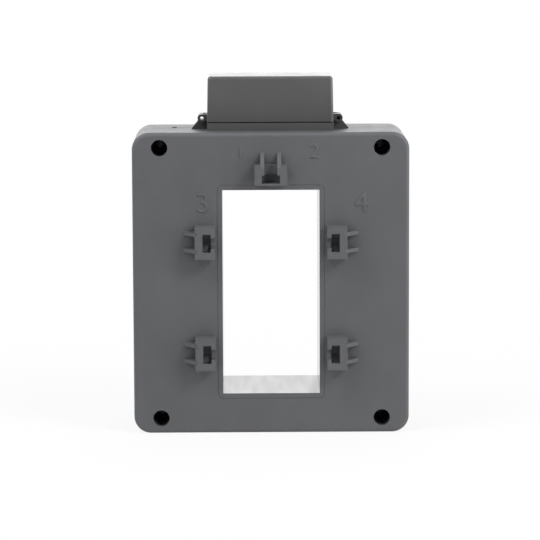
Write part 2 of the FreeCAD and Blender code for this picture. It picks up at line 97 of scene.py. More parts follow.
def new_material(name, **sockets):
    """A material with one Principled shader, its constant sockets set, and its object place."""
    material = bpy.data.materials.new(name)
    material.use_nodes = True
    tree = material.node_tree
    tree.nodes.clear()
    shader = add(tree, "ShaderNodeBsdfPrincipled", sockets)
    add(tree, "ShaderNodeOutputMaterial", {"Surface": shader.outputs[0]})
    place = add(tree, "ShaderNodeTexCoord").outputs["Object"]
    return material, tree, shader, place


def feed(tree, shader, outputs):
    """Links outputs to the shader's inputs, by their names."""
    for name, output in outputs.items():
        tree.links.new(output, shader.inputs[name])


def dress(material, *names):
    """Gives a material to CAD nodes, in the slots that they already have."""
    for name in names:
        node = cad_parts[name]
        if not node.material_slots:
            node.data.materials.append(material)
        for place in node.material_slots:
            place.material = material


def add_piece(name, mesh, body, material=None, stands_for=()):
    """Adds a finished mesh as a piece that rides on a body."""
    piece = bpy.data.objects.new(name, mesh)
    bpy.context.scene.collection.objects.link(piece)
    if material:
        mesh.materials.clear()
        mesh.materials.append(material)
    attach(piece, body)
    if stands_for:
        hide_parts(*stands_for)
    return piece


def turned_profile(points, segments):
    """A closed mesh turned about Z from (radius, height) points, from the lower pole up."""
    work = bmesh.new()
    rings = []
    for radius, height in points:
        if radius < 1e-7:
            rings.append([work.verts.new((0, 0, height))])
            continue
        rings.append([work.verts.new((radius * math.cos(2 * math.pi * k / segments),
                                      radius * math.sin(2 * math.pi * k / segments), height))
                      for k in range(segments)])
    for lower, upper in zip(rings, rings[1:]):
        for k in range(segments):
            n = (k + 1) % segments
            corners = [lower[k % len(lower)], lower[n % len(lower)],
                       upper[n % len(upper)], upper[k % len(upper)]]
            work.faces.new([c for i, c in enumerate(corners) if c not in corners[:i]])
    bmesh.ops.recalc_face_normals(work, faces=work.faces)
    return work


def as_mesh(work, name):
    """Turns a bmesh into mesh data that is smooth except at its sharp edges."""
    for face in work.faces:
        face.smooth = True
    for edge in work.edges:
        edge.smooth = len(edge.link_faces) == 2 and edge.calc_face_angle() < SMOOTH_ANGLE
    mesh = bpy.data.meshes.new(name)
    work.to_mesh(mesh)
    work.free()
    return mesh


def cutting_box(x, y, z):
    """A box between two values on each axis, as a bmesh, for cutting."""
    work = bmesh.new()
    bmesh.ops.create_cube(work, size=1.0)
    size = Vector((x[1] - x[0], y[1] - y[0], z[1] - z[0]))
    middle = Vector((x[0] + x[1], y[0] + y[1], z[0] + z[1])) / 2
    fitted = Matrix.Translation(middle) @ Matrix.Diagonal(size.to_4d())
    bmesh.ops.transform(work, matrix=fitted, verts=work.verts)
    return work


def cut_away(mesh, cutters):
    """Cuts closed shapes out of a mesh and returns the new mesh."""
    holder = bpy.data.objects.new("cutting", mesh)
    bpy.context.scene.collection.objects.link(holder)
    tools = []
    for number, work in enumerate(cutters):
        tool = bpy.data.objects.new("cutter_%d" % number, as_mesh(work, "cutter"))
        bpy.context.scene.collection.objects.link(tool)
        step = holder.modifiers.new("cut", "BOOLEAN")
        step.operation = "DIFFERENCE"
        step.solver = "EXACT"
        step.object = tool
        tools.append(tool)
    done = evaluated_mesh(holder)
    for old in tools + [holder]:
        bpy.data.objects.remove(old, do_unlink=True)
    return done


def evaluated_mesh(holder):
    """The plain mesh that an object's modifiers make."""
    bpy.context.view_layer.update()
    seen = holder.evaluated_get(bpy.context.evaluated_depsgraph_get())
    return bpy.data.meshes.new_from_object(seen)


def grown_mesh(seed_mesh, tree, values):
    """Runs a Geometry Nodes tree on a mesh, its inputs given by name, and returns the plain mesh."""
    holder = bpy.data.objects.new("growing", seed_mesh)
    bpy.context.scene.collection.objects.link(holder)
    step = holder.modifiers.new("grow", "NODES")
    step.node_group = tree
    for item in tree.interface.items_tree:
        if item.item_type == "SOCKET" and item.in_out == "INPUT" and item.name in values:
            step[item.identifier] = values[item.name]
    done = evaluated_mesh(holder)
    bpy.data.objects.remove(holder, do_unlink=True)
    if not len(done.polygons):
        raise RuntimeError(tree.name + " made no faces")
    return done


def new_tree(name, sockets):
    """A Geometry Nodes tree with a geometry in and out, and the named inputs."""
    tree = bpy.data.node_groups.new(name, "GeometryNodeTree")
    for way in ("INPUT", "OUTPUT"):
        tree.interface.new_socket(name="Geometry", in_out=way, socket_type="NodeSocketGeometry")
    for label, kind, value in sockets:
        made = tree.interface.new_socket(name=label, in_out="INPUT", socket_type="NodeSocket" + kind)
        if value is not None:
            made.default_value = value
    return tree, add(tree, "NodeGroupInput").outputs, add(tree, "NodeGroupOutput")


# Materials

def mottled(tree, place, size, low, high, detail=3.0, held=True):
    """Soft noise of a real size in metres, spread between two values and held there or not."""
    noise = add(tree, "ShaderNodeTexNoise", {"Vector": place, "Scale": 1 / size, "Detail": detail})
    return add(tree, "ShaderNodeMapRange",
               {"Value": noise.outputs[0], "From Min": 0.3, "From Max": 0.7,
                "To Min": low, "To Max": high}, clamp=held).outputs[0]


def two_tone(tree, place, size, first, second):
    """A colour that drifts between two hex colours over a real size in metres."""
    drift = mottled(tree, place, size, 0.0, 1.0)
    return add(tree, "ShaderNodeMix", {0: drift, 6: linear(first), 7: linear(second)},
               data_type="RGBA").outputs[2]


def moulded_plastic(name, shade, deep, roughness, grain, edge, bowed=None):
    """Injection-moulded ABS. A spark-eroded mould leaves an even, fine grain that kills the
    mirror image but keeps a soft sheen at low angles, and its edges are slightly rounded.
    A thin tall wall bows outwards a little, which is given as its foot, its top and the bow."""
    material, tree, shader, place = new_material(name, IOR=1.52)
    sheen = mottled(tree, place, 9 * MM, roughness - 0.035, roughness + 0.035)
    rounded = add(tree, "ShaderNodeBevel", {"Radius": edge}, samples=6)
    # Real spark grain is about 0.05 mm. It is drawn at 0.35 mm so that it shows.
    sparks = mottled(tree, place, 0.35 * MM, 0.0, 1.0, detail=1.0, held=False)
    surface = add(tree, "ShaderNodeBump", {"Height": sparks, "Distance": grain, "Strength": 0.6,
                                           "Normal": rounded.outputs[0]})
    # Shrinkage leaves a very slow waviness over the thick places.
    sink = mottled(tree, place, 30 * MM, 0.0, 1.0, detail=0.0, held=False)
    surface = add(tree, "ShaderNodeBump", {"Height": sink, "Distance": 0.12 * MM, "Strength": 0.35,
                                           "Normal": surface.outputs[0]})
    if bowed:
        foot, top, bow = bowed
        height = add(tree, "ShaderNodeSeparateXYZ", {0: place}).outputs[2]
        level = add(tree, "ShaderNodeMapRange", {"Value": height, "From Min": foot, "From Max": top,
                                                 "To Min": -1.0, "To Max": 1.0}).outputs[0]
        fall = add(tree, "ShaderNodeMath", {0: level, 1: level}, operation="MULTIPLY").outputs[0]
        bulge = add(tree, "ShaderNodeMath", {0: 1.0, 1: fall}, operation="SUBTRACT").outputs[0]
        surface = add(tree, "ShaderNodeBump", {"Height": bulge, "Distance": bow, "Strength": 1.0,
                                               "Normal": surface.outputs[0]})
    feed(tree, shader, {"Base Color": two_tone(tree, place, 22 * MM, deep, shade),
                        "Roughness": sheen, "Normal": surface.outputs[0]})
    return material


def polished_window(material, roughness):
    """The mould's core for the window is polished, so the window's walls are glossy, with faint
    drag marks along them from where the core was drawn out."""
    tree = material.node_tree
    shader = tree.nodes["Principled BSDF"]
    place = add(tree, "ShaderNodeTexCoord").outputs["Object"]
    across, depth, height = add(tree, "ShaderNodeSeparateXYZ", {0: place}).outputs
    reach = add(tree, "ShaderNodeMath", {0: across}, operation="ABSOLUTE").outputs[0]
    # The limits lie a little outside the walls, and start just behind the rim's front.
    slack = 0.1 * MM
    inside = 1.0
    for value, comparison, limit in ((reach, "LESS_THAN", WINDOW_HALF + slack / 2),
                                     (height, "GREATER_THAN", WINDOW_SILL - slack),
                                     (height, "LESS_THAN", WINDOW_TOP + slack),
                                     (depth, "GREATER_THAN", FACE + 2 * slack)):
        held = add(tree, "ShaderNodeMath", {0: value, 1: limit}, operation=comparison).outputs[0]
        inside = add(tree, "ShaderNodeMath", {0: held, 1: inside}, operation="MULTIPLY").outputs[0]
    stretched = add(tree, "ShaderNodeMapping", {"Vector": place, "Scale": (1.0, 0.1, 1.0)}).outputs[0]
    streaks = mottled(tree, stretched, 5 * MM, roughness, roughness + 0.05, detail=1.0)
    # The upright walls come off the core without dragging, so they stay clearer than the floor.
    normal = add(tree, "ShaderNodeNewGeometry").outputs["Normal"]
    facing = add(tree, "ShaderNodeSeparateXYZ", {0: normal}).outputs[0]
    upright = add(tree, "ShaderNodeMath", {0: facing}, operation="ABSOLUTE").outputs[0]
    clearer = add(tree, "ShaderNodeMapRange", {"Value": upright, "To Min": 1.0, "To Max": 0.3}).outputs[0]
    polish = add(tree, "ShaderNodeMath", {0: streaks, 1: clearer}, operation="MULTIPLY").outputs[0]
    grained = shader.inputs["Roughness"].links[0].from_socket
    gloss = add(tree, "ShaderNodeMix", {0: inside, 2: grained, 3: polish}, data_type="FLOAT")
    bumped = shader.inputs["Normal"].links[0].from_socket
    flat = add(tree, "ShaderNodeMix", {0: inside, 4: bumped, 5: normal}, data_type="VECTOR")
    feed(tree, shader, {"Roughness": gloss.outputs[0], "Normal": flat.outputs[1]})


def wound_steel():
    """Grain-oriented silicon steel strip, wound, annealed and bonded. Its edges show as hundreds
    of fine layers that run round the core, grey-blue from annealing."""
    material, tree, shader, place = new_material("Wound silicon steel strip, annealed", Metallic=1.0)
    parts = add(tree, "ShaderNodeSeparateXYZ", {0: place}).outputs
    low, high = node_box("core_lower")[0], node_box("core_upper")[1]
    middle = (low.z + high.z) / 2
    spans = []
    for part, centre, half in ((parts[0], 0.0, high.x - CORE_CORNER),
                               (parts[2], middle, (high.z - low.z) / 2 - CORE_CORNER)):
        off = add(tree, "ShaderNodeMath", {0: part, 1: centre}, operation="SUBTRACT").outputs[0]
        off = add(tree, "ShaderNodeMath", {0: off}, operation="ABSOLUTE").outputs[0]
        off = add(tree, "ShaderNodeMath", {0: off, 1: half}, operation="SUBTRACT").outputs[0]
        spans.append(add(tree, "ShaderNodeMath", {0: off, 1: 0.0}, operation="MAXIMUM").outputs[0])
    flat = add(tree, "ShaderNodeCombineXYZ", {0: spans[0], 1: spans[1]}).outputs[0]
    depth = add(tree, "ShaderNodeVectorMath", {0: flat}, operation="LENGTH").outputs["Value"]
    # Strip is 0.3 mm thick. The layers are drawn 0.9 mm apart so that they show.
    layers = add(tree, "ShaderNodeMath", {0: depth, 1: 0.9 * MM}, operation="DIVIDE").outputs[0]
    wave = add(tree, "ShaderNodeMath", {0: layers}, operation="FRACT").outputs[0]
    bump = add(tree, "ShaderNodeBump", {"Height": wave, "Distance": 0.08 * MM, "Strength": 0.7})
    feed(tree, shader, {"Base Color": two_tone(tree, place, 14 * MM, "#5c6066", "#7d8187"),
                        "Roughness": mottled(tree, place, 4 * MM, 0.32, 0.5), "Normal": bump.outputs[0]})
    return material


def worked_metal(name, first, second, roughness, line, stretch=(1, 1, 1)):
    """Drawn, rolled or plated metal. The working leaves fine lines in one direction, so it
    reflects in a soft streak, and plating varies a little in tone."""
    material, tree, shader, place = new_material(name, Metallic=1.0)
    lined = add(tree, "ShaderNodeMapping", {"Vector": place, "Scale": stretch}).outputs[0]
    marks = mottled(tree, lined, line, 0.0, 1.0, detail=2.0, held=False)
    sheen = mottled(tree, lined, line * 2, roughness - 0.06, roughness + 0.08)
    rounded = add(tree, "ShaderNodeBevel", {"Radius": 0.12 * MM}, samples=4)
    bump = add(tree, "ShaderNodeBump", {"Height": marks, "Distance": 0.004 * MM, "Strength": 0.5,
                                        "Normal": rounded.outputs[0]})
    feed(tree, shader, {"Base Color": two_tone(tree, place, 5 * MM, first, second),
                        "Roughness": sheen, "Normal": bump.outputs[0]})
    return material


def enamelled_copper():
    """Copper wire under clear polyester-imide enamel: a warm metal under a thin amber gloss."""
    material, tree, shader, place = new_material("Enamelled copper wire", Metallic=1.0)
    shader.inputs["Coat Weight"].default_value = 0.8
    shader.inputs["Coat Roughness"].default_value = 0.12
    feed(tree, shader, {"Base Color": two_tone(tree, place, 6 * MM, "#8a3f1c", "#b4592c"),
                        "Roughness": mottled(tree, place, 2 * MM, 0.22, 0.36)})
    return material


def wound_tape():
    """Polyester insulating tape, a glossy amber film. Each turn's edge shows as a low step."""
    material, tree, shader, place = new_material("Polyester tape, wound", IOR=1.57)
    height = add(tree, "ShaderNodeSeparateXYZ", {0: place}).outputs[2]
    tape_width = 9 * MM
    turn = add(tree, "ShaderNodeMath", {0: height, 1: tape_width}, operation="DIVIDE").outputs[0]
    step = add(tree, "ShaderNodeMath", {0: turn}, operation="FRACT").outputs[0]
    amber = add(tree, "ShaderNodeMix", {0: step, 6: linear("#b98a2a"), 7: linear("#d2a640")},
                data_type="RGBA")
    bump = add(tree, "ShaderNodeBump", {"Height": step, "Distance": 0.1 * MM, "Strength": 0.8})
    feed(tree, shader, {"Base Color": amber.outputs[2], "Normal": bump.outputs[0],
                        "Roughness": mottled(tree, place, 3 * MM, 0.14, 0.3)})
    return material


def extruded_vinyl():
    """PVC sleeve of the inner wires, extruded: a soft dark shine with faint uneven drag."""
    material, tree, shader, place = new_material("Extruded PVC wire sleeve", IOR=1.53)
    drag = mottled(tree, place, 0.5 * MM, 0.0, 1.0)
    bump = add(tree, "ShaderNodeBump", {"Height": drag, "Distance": 0.02 * MM, "Strength": 0.5})
    feed(tree, shader, {"Base Color": two_tone(tree, place, 8 * MM, "#17181a", "#222326"),
                        "Roughness": mottled(tree, place, 2 * MM, 0.34, 0.46), "Normal": bump.outputs[0]})
    return material


def filled_nylon():
    """Glass-filled nylon of the spools: black and dull, with pale fibre flecks at the surface."""
    material, tree, shader, place = new_material("Glass-filled nylon, moulded", IOR=1.53)
    flecks = add(tree, "ShaderNodeMapping", {"Vector": place, "Scale": (1.0, 1.0, 0.25)}).outputs[0]
    fibres = mottled(tree, flecks, 0.6 * MM, 0.0, 1.0)
    bump = add(tree, "ShaderNodeBump", {"Height": fibres, "Distance": 0.02 * MM, "Strength": 0.6})
    feed(tree, shader, {"Base Color": two_tone(tree, flecks, 0.8 * MM, "#151515", "#2b2b2a"),
                        "Roughness": mottled(tree, place, 3 * MM, 0.5, 0.66), "Normal": bump.outputs[0]})
    return material


# Sizes and colours that a user would change

class CaseLook(bpy.types.PropertyGroup):
    shade: StringProperty(
        name="Case grey", description="Grey of the moulded case", default="#5d5e61")
    deep: StringProperty(
        name="Case grey, darker", description="Darker tone of the case's mottling", default="#595a5c")
    cover_shade: StringProperty(
        name="Cover grey", description="Grey of the terminal cover", default="#565656")
    cover_deep: StringProperty(
        name="Cover grey, darker", description="Darker tone of the cover's mottling", default="#525252")
    cover_bow: FloatProperty(
        name="Cover bow", description="How far the cover's tall walls bow outwards",
        default=0.9 * MM, unit="LENGTH", precision=5)
    # The block's two greys are darker than the cover's as painted shade. They stand in for the shade that
    # the cover's overhang casts on the plinth, and they darken the lugs with it.
    block_grey_painted_shade: StringProperty(
        name="Block grey", description="Grey of the terminal block and its lugs", default="#515151")
    block_deep_painted_shade: StringProperty(
        name="Block grey, darker", description="Darker tone of the block's mottling", default="#4d4d4d")
    roughness: FloatProperty(
        name="Grain roughness", description="Roughness of the spark-eroded case",
        default=0.5, min=0.1, max=1.0, subtype="FACTOR")
    cover_roughness: FloatProperty(
        name="Cover roughness", description="Roughness of the smoother cover",
        default=0.325, min=0.05, max=1.0, subtype="FACTOR")
    window_roughness: FloatProperty(
        name="Window roughness", description="Roughness of the window's floor and ceiling",
        default=0.28, min=0.02, max=1.0, subtype="FACTOR")
    edge: FloatProperty(
        name="Edge radius", description="Rounding of moulded edges",
        default=0.3 * MM, min=0.0, unit="LENGTH", precision=5)


class NumeralSizes(bpy.types.PropertyGroup):
    upper_height: FloatProperty(
        name="Upper height", description="Height of the numerals beside the top boss",
        default=9.2 * MM, unit="LENGTH", precision=4)
    lower_height: FloatProperty(
        name="Lower height", description="Height of the numerals over the side bosses",
        default=12.6 * MM, unit="LENGTH", precision=4)
    slope: FloatProperty(
        name="Slope", description="How far the strokes' sides slope out to the face",
        default=0.3 * MM, unit="LENGTH", precision=5)
    relief: FloatProperty(
        name="Relief", description="How far the numerals stand proud of the face",
        default=0.42 * MM, unit="LENGTH", precision=5)
    broader: FloatProperty(
        name="Broader", description="How much broader each side of a stroke is at the face",
        default=0.1 * MM, unit="LENGTH", precision=5)


class ScrewSizes(bpy.types.PropertyGroup):
    case_head: FloatProperty(
        name="Case screw head", description="Height of the case screws' pan heads",
        default=2.6 * MM, unit="LENGTH", precision=5)
    case_pitch: FloatProperty(
        name="Case screw pitch", description="Thread pitch of the case screws",
        default=1.4 * MM, unit="LENGTH", precision=5)
    terminal_head: FloatProperty(
        name="Terminal screw head", description="Height of the terminal screws' cheese heads",
        default=3.0 * MM, unit="LENGTH", precision=5)
    terminal_pitch: FloatProperty(
        name="Terminal screw pitch", description="Thread pitch of the M4 terminal screws",
        default=0.7 * MM, unit="LENGTH", precision=5)
    seed: IntProperty(
        name="Turn seed", description="Seed for how far each case screw is turned", default=4)


class WindingSizes(bpy.types.PropertyGroup):
    wire: FloatProperty(
        name="Wire diameter", description="Diameter of the enamelled wire",
        default=1.1 * MM, unit="LENGTH", precision=5)
    pitch: FloatProperty(
        name="Turn pitch", description="Distance from one turn to the next",
        default=1.16 * MM, unit="LENGTH", precision=5)
    build: FloatProperty(
        name="Build", description="Thickness of all the layers of wire together",
        default=5.2 * MM, unit="LENGTH", precision=5)


class StageLook(bpy.types.PropertyGroup):
    lens: FloatProperty(
        name="Focal length", description="Camera's focal length on a 36 mm sensor",
        default=191.857, unit="CAMERA")
    key: FloatProperty(
        name="Key light", description="Power of the soft lamp high on the right",
        default=13.8, unit="POWER")
    side: FloatProperty(
        name="Side light", description="Power of the low lamp on the right",
        default=8.5, unit="POWER")
    top: FloatProperty(
        name="Top light", description="Power of the wide lamp high on the left",
        default=13.0, unit="POWER")
    left: FloatProperty(
        name="Left light", description="Power of the soft lamp on the left",
        default=3.7, unit="POWER")
    back: FloatProperty(
        name="Back light", description="Power of the wide lamp behind the object",
        default=18.6, unit="POWER")
    world: FloatProperty(
        name="Room light", description="Strength of the even light of the room",
        default=0.45, min=0.0)
    front: FloatProperty(
        name="Front share", description="How bright the room is on the camera's side",
        default=0.15, min=0.0, max=1.0, subtype="FACTOR")


# Pieces

class TRANSFORMER_OT_case(bpy.types.Operator):
    """Finishes the two case halves, with their polished window"""
    bl_idname = "transformer.case"
    bl_label = "Case halves"

    def execute(self, context):
        look = context.scene.transformer_case
        front, rear = (moulded_plastic(name, look.shade, look.deep, look.roughness,
                                       grain=0.03 * MM, edge=look.edge)
                       for name in ("ABS, spark-eroded grey moulding",
                                    "ABS, grey moulding with polished window"))
        polished_window(rear, look.window_roughness)
        dress(front, "front_shell")
        dress(rear, "rear_shell")
        return {"FINISHED"}


class TRANSFORMER_OT_terminal_housing(bpy.types.Operator):
    """Finishes the terminal block and its smoother cover"""
    bl_idname = "transformer.terminal_housing"
    bl_label = "Terminal housing"

    def execute(self, context):
        look = context.scene.transformer_case
        # Painted shade: the block's darker greys stand in for the shade under the cover's overhang.
        block = moulded_plastic("ABS, grey terminal block moulding with painted shade", look.block_grey_painted_shade, look.block_deep_painted_shade,
                                look.roughness, grain=0.02 * MM, edge=look.edge)
        foot, top = (corner.z for corner in node_box("terminal_cover"))
        cover = moulded_plastic("ABS, smooth grey cover moulding", look.cover_shade, look.cover_deep,
                                look.cover_roughness, grain=0.006 * MM, edge=0.06 * MM,
                                bowed=(foot, top, look.cover_bow))
        dress(block, "terminal_block")
        dress(cover, "terminal_cover")
        return {"FINISHED"}


class TRANSFORMER_OT_numerals(bpy.types.Operator):
    """Adds the raised numerals on the front face"""
    bl_idname = "transformer.numerals"
    bl_label = "Raised numerals"

    def execute(self, context):
        sizes = context.scene.transformer_numerals
        look = context.scene.transformer_case
        finish = moulded_plastic("ABS, raised grey numerals", look.shade, look.deep, look.roughness,
                                 grain=0.01 * MM, edge=0.15 * MM)
        height_share = 0.72  # height of a numeral of the built-in font, as a share of its text size
        for text, x, z, height in (("1", -18.5 * MM, 175.5 * MM, sizes.upper_height),
                                   ("2", 27.0 * MM, 175.5 * MM, sizes.upper_height),
                                   ("3", -42.0 * MM, 143.5 * MM, sizes.lower_height),
                                   ("4", 56.0 * MM, 143.5 * MM, sizes.lower_height)):
            words = bpy.data.curves.new("numeral_" + text, "FONT")
            words.body = text
            words.size = height / height_share
            words.align_x = "CENTER"
            words.align_y = "CENTER"
            words.bevel_depth = sizes.slope
            words.bevel_resolution = 1
            words.extrude = sizes.relief - sizes.slope
            words.offset = sizes.broader - sizes.slope
            words.resolution_u = 4
            holder = bpy.data.objects.new("writing", words)
            context.scene.collection.objects.link(holder)
            mesh = evaluated_mesh(holder)
            bpy.data.objects.remove(holder, do_unlink=True)
            upright = Matrix.Translation((x, FACE, z))
            mesh.transform(upright @ Matrix.Rotation(math.pi / 2, 4, "X"))
            add_piece("numeral_" + text, mesh, "case", finish)
        return {"FINISHED"}


def thread_tree():
    """Winds a thread round a screw that stands on its tip along Z."""
    tree, given, out = new_tree("Screw thread", (
        ("Crest radius", "Float", 2 * MM), ("Depth", "Float", 0.4 * MM), ("Pitch", "Float", 0.7 * MM),
        ("Start", "Float", 0.0), ("Length", "Float", 10 * MM), ("Material", "Material", None)))
    turns = add(tree, "ShaderNodeMath", {0: given["Length"], 1: given["Pitch"]}, operation="DIVIDE")
    ridge = add(tree, "ShaderNodeMath", {0: given["Crest radius"], 1: given["Depth"]},
                operation="SUBTRACT").outputs[0]
    coil = add(tree, "GeometryNodeCurveSpiral", {
        "Resolution": 24, "Rotations": turns.outputs[0], "Start Radius": ridge, "End Radius": ridge,
        "Height": given["Length"]})
    upright = add(tree, "GeometryNodeSetCurveNormal", {"Curve": coil.outputs[0]}, mode="Z_UP")
    lift = add(tree, "ShaderNodeCombineXYZ", {2: given["Start"]})
    moved = add(tree, "GeometryNodeTransform", {"Geometry": upright.outputs[0],
                                                "Translation": lift.outputs[0]})
    profile = add(tree, "GeometryNodeCurvePrimitiveCircle", {"Resolution": 4, "Radius": given["Depth"]})
    swept = add(tree, "GeometryNodeCurveToMesh", {
        "Curve": moved.outputs[0], "Profile Curve": profile.outputs[0], "Fill Caps": True})
    joined = add(tree, "GeometryNodeJoinGeometry")
    tree.links.new(given["Geometry"], joined.inputs[0])
    tree.links.new(swept.outputs[0], joined.inputs[0])
    real = add(tree, "GeometryNodeRealizeInstances", {0: joined.outputs[0]})
    finish = add(tree, "GeometryNodeSetMaterial", {"Geometry": real.outputs[0],
                                                   "Material": given["Material"]})
    tree.links.new(finish.outputs[0], out.inputs[0])
    return tree


def corners_tree():
    """Sets one screw at each of the four corners, each turned differently about its own axis."""
    tree, given, out = new_tree("Screws at the corners", (
        ("Across", "Float", 0.1), ("Up", "Float", 0.1), ("Middle", "Vector", (0, 0, 0)),
        ("Seed", "Int", 0), ("Material", "Material", None)))
    grid = add(tree, "GeometryNodeMeshGrid", {"Size X": given["Across"], "Size Y": given["Up"],
                                              "Vertices X": 2, "Vertices Y": 2})
    standing = add(tree, "GeometryNodeTransform", {
        "Geometry": grid.outputs[0], "Rotation": (math.pi / 2, 0, 0), "Translation": given["Middle"]})
    spin = add(tree, "FunctionNodeRandomValue", {
        "Min": (math.pi / 2, 0, 0), "Max": (math.pi / 2, math.pi, 0), "Seed": given["Seed"]},
        data_type="FLOAT_VECTOR")
    placed = add(tree, "GeometryNodeInstanceOnPoints", {
        "Points": standing.outputs[0], "Instance": given["Geometry"], "Rotation": spin.outputs[0]})
    real = add(tree, "GeometryNodeRealizeInstances", {0: placed.outputs[0]})
    finish = add(tree, "GeometryNodeSetMaterial", {"Geometry": real.outputs[0],
                                                   "Material": given["Material"]})
    tree.links.new(finish.outputs[0], out.inputs[0])
    return tree


class TRANSFORMER_OT_case_screws(bpy.types.Operator):
    """Replaces the four case screws by pan-head screws with a cross recess and a thread"""
    bl_idname = "transformer.case_screws"
    bl_label = "Case screws"

    def execute(self, context):
        sizes = context.scene.transformer_screws
        names = ["case_screw_%s_%s" % (level, side) for level in ("lower", "upper") for side in SIDES]
        low, high = node_box("case_screw_lower_left")
        far = node_box("case_screw_upper_right")[1]
        head, length = (high.x - low.x) / 2, high.y - low.y
        neck = length - sizes.case_head
        crest, depth = 2.0 * MM, 0.45 * MM
        core = crest - depth
        # The screw stands on its tip, with the pan head on top.
        outline = [(0, 0), (0.5 * MM, 0.3 * MM), (core, 2.6 * MM), (core, neck), (head - 0.15 * MM, neck),
                   (head, neck + 0.15 * MM), (head, neck + 1.2 * MM), (head - 0.35 * MM, neck + 1.9 * MM),
                   (head - 1.1 * MM, neck + 2.4 * MM), (head - 2.2 * MM, length), (0, length)]
        pan = as_mesh(turned_profile(outline, 40), "screw")
        arm, half = 2.1 * MM, 0.45 * MM
        recess = (length - 1.5 * MM, length + MM)
        pan = cut_away(pan, (cutting_box((-arm, arm), (-half, half), recess),
                             cutting_box((-half, half), (-arm, arm), recess)))
        steel = worked_metal("Phosphated steel, case screws", "#6b6d70", "#7d7f82",
                             roughness=0.38, line=0.4 * MM)
        threaded = grown_mesh(pan, thread_tree(), {
            "Crest radius": crest, "Depth": depth, "Pitch": sizes.case_pitch,
            "Start": 2.4 * MM, "Length": neck - 4.4 * MM, "Material": steel})
        left, lowest, highest = low.x + head, low.z + head, far.z - head
        mesh = grown_mesh(threaded, corners_tree(), {
            "Across": -2 * left, "Up": highest - lowest,
            "Middle": (0, high.y, (highest + lowest) / 2), "Seed": sizes.seed, "Material": steel})
        add_piece("case_screws", mesh, "case", None, names)
        return {"FINISHED"}


class TRANSFORMER_OT_terminal_screws(bpy.types.Operator):
    """Replaces the two terminal screws by slotted cheese-head screws with an M4 thread"""
    bl_idname = "transformer.terminal_screws"
    bl_label = "Terminal screws"

    def execute(self, context):
        sizes = context.scene.transformer_screws
        steel = worked_metal("Nickel-plated steel, terminal screws", "#b9b6ae", "#cfccc4",
                             roughness=0.24, line=0.3 * MM)
        thread = thread_tree()
        for side in SIDES:
            low, high = node_box("terminal_screw_" + side)
            head, length = (high.x - low.x) / 2, high.z - low.z
            neck = length - sizes.terminal_head
            crest, depth = 2.0 * MM, 0.3 * MM
            core = crest - depth
            outline = [(0, 0), (core - 0.4 * MM, 0), (core, 0.4 * MM), (core, neck),
                       (head - 0.1 * MM, neck), (head, neck + 0.1 * MM), (head, length - 0.5 * MM),
                       (head - 0.15 * MM, length - 0.2 * MM), (head - 0.5 * MM, length), (0, length)]
            cheese = as_mesh(turned_profile(outline, 48), "screw")
            slot = cutting_box((-head - MM, head + MM), (-0.5 * MM, 0.5 * MM),
                               (length - 1.3 * MM, length + MM))
            mesh = grown_mesh(cut_away(cheese, [slot]), thread, {
                "Crest radius": crest, "Depth": depth, "Pitch": sizes.terminal_pitch,
                "Start": 0.5 * MM, "Length": neck - 1.2 * MM, "Material": steel})
            mesh.transform(Matrix.Translation(((low.x + high.x) / 2, (low.y + high.y) / 2, low.z)))
            add_piece("clamp_screw_" + side, mesh, "screw_" + side, None,
                      ["terminal_screw_" + side])
        return {"FINISHED"}


def turns_tree():
    """Lays turns of round wire round a rectangular spool, one above the other."""
    tree, given, out = new_tree("Winding turns", (
        ("Width", "Float", 0.03), ("Depth", "Float", 0.04), ("Corner", "Float", 5 * MM),
        ("Wire radius", "Float", MM), ("Pitch", "Float", MM), ("Turns", "Int", 10),
        ("First", "Vector", (0, 0, 0)), ("Material", "Material", None)))
    square = add(tree, "GeometryNodeCurvePrimitiveQuadrilateral", {"Width": given["Width"],
                                                                   "Height": given["Depth"]})
    loop = add(tree, "GeometryNodeFilletCurve", {
        "Curve": square.outputs[0], "Radius": given["Corner"], "Count": 5}, mode="POLY")
    step = add(tree, "ShaderNodeCombineXYZ", {2: given["Pitch"]})
    line = add(tree, "GeometryNodeMeshLine", {
        "Count": given["Turns"], "Start Location": given["First"], "Offset": step.outputs[0]},
        mode="OFFSET")
    stack = add(tree, "GeometryNodeInstanceOnPoints", {"Points": line.outputs[0],
                                                       "Instance": loop.outputs[0]})
    real = add(tree, "GeometryNodeRealizeInstances", {0: stack.outputs[0]})
    wire = add(tree, "GeometryNodeCurvePrimitiveCircle", {"Resolution": 8, "Radius": given["Wire radius"]})
    swept = add(tree, "GeometryNodeCurveToMesh", {"Curve": real.outputs[0],
                                                  "Profile Curve": wire.outputs[0]})
    smooth = add(tree, "GeometryNodeSetShadeSmooth", {"Geometry": swept.outputs[0]})
    joined = add(tree, "GeometryNodeJoinGeometry")
    tree.links.new(given["Geometry"], joined.inputs[0])
    tree.links.new(smooth.outputs[0], joined.inputs[0])
    finish = add(tree, "GeometryNodeSetMaterial", {"Geometry": joined.outputs[0],
                                                   "Material": given["Material"]})
    tree.links.new(finish.outputs[0], out.inputs[0])
    return tree


